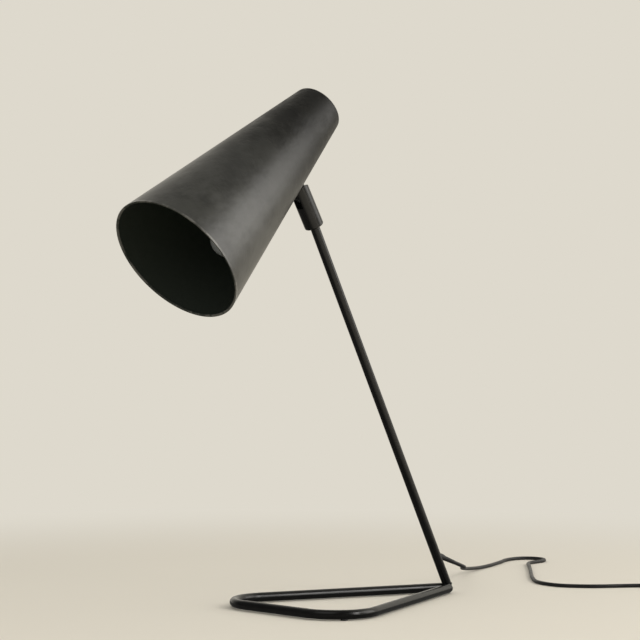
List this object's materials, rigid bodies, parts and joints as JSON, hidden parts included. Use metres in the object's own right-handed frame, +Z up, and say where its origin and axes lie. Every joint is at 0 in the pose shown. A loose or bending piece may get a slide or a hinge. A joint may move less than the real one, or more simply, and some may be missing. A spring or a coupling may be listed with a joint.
{
  "type": "table lamp",
  "caption": "Table lamp with a long cone shade that tilts on a leaning stem, on a flat rounded-triangle loop of bent round bar, with a corded switch and plug.",
  "frame": {"origin": "on the table, under the middle of the lamp's box without its cord", "axes": "+Z up, the mouth of the shade toward -Y, the lamp's own plane of symmetry at X = 0"},
  "size_m": [0.6021, 0.932, 0.651],
  "materials": {
    "enamel_stand": "satin powder coat, fine texture",
    "enamel_shade": "satin black enamel, faintly clouded",
    "enamel_screws": "satin black enamel",
    "enamel_bracket": "matt black, rubbed at the edges",
    "pad_rubber": "matt",
    "cord_sheath": "semi-matt sheath",
    "relief_rubber": "matt moulded rubber",
    "zinc_steel": "bright zinc plate",
    "fibre_washer": "fibre",
    "holder_phenolic": "moulded phenolic",
    "holder_ceramic": "white steatite",
    "holder_brass": "plain brass",
    "bulb_nickel": "nickel plate",
    "bulb_black_glass": "black glass",
    "bulb_opal_glass": "pearl glass",
    "bulb_inner_glass": "clear glass",
    "filament_wire": "drawn wire",
    "switch_plastic": "fine spark texture",
    "rocker_plastic": "polished",
    "tie_plastic": "matt strap",
    "plug_plastic": "moulded",
    "pin_nickel": "nickel-plated brass"
  },
  "bodies": {
    "stand": {"base_loop": "enamel_stand", "stem_tube": "enamel_stand", "knuckle_sleeve": "enamel_stand", "foot_pads": "pad_rubber", "cord_run": "cord_sheath", "cord_link": "cord_sheath", "cord_coil": "cord_sheath", "cord_tail": "cord_sheath", "supply_lead": "cord_sheath", "cord_grommet": "relief_rubber", "cord_relief": "relief_rubber", "plug_relief": "relief_rubber", "sleeve_grub_screw": "zinc_steel", "pivot_screw": "zinc_steel", "spring_washer": "zinc_steel", "switch_screws": "zinc_steel", "friction_washers": "fibre_washer", "switch_contacts": "holder_brass", "switch_base": "switch_plastic", "switch_cover": "switch_plastic", "coil_tie": "tie_plastic", "plug_body": "plug_plastic", "pin_sleeves": "plug_plastic", "plug_pins": "pin_nickel"},
    "shade": {"shade": "enamel_shade", "shade_bracket": "enamel_bracket", "bracket_screws": "enamel_screws", "pivot_spacer": "zinc_steel", "lead_bush": "relief_rubber", "shade_lead": "cord_sheath", "holder_nipple": "holder_brass", "nipple_nuts": "holder_brass", "lock_washer": "zinc_steel", "holder_cap": "holder_phenolic", "holder_insulator": "holder_ceramic", "holder_barrel": "holder_phenolic", "screw_shell": "holder_brass", "centre_contact": "holder_brass", "bulb_glass": "bulb_opal_glass", "bulb_cap": "bulb_nickel", "bulb_insulator": "bulb_black_glass", "bulb_contact": "bulb_nickel", "bulb_mount": "bulb_inner_glass", "filament": "filament_wire"},
    "rocker": {"switch_rocker": "rocker_plastic"}
  },
  "joints": [
    {"name": "shade_tilt", "type": "hinge", "parent": "stand", "child": "shade", "pos_m": [0, -0.00685, 0.51815], "axis": [1, 0, 0], "range_deg": [-39, 45]},
    {"name": "rocker", "type": "hinge", "parent": "stand", "child": "rocker", "pos_m": [0.243, 0.527, 0.0132], "axis": [0, 1, 0], "range_deg": [0, 14]}
  ]
}
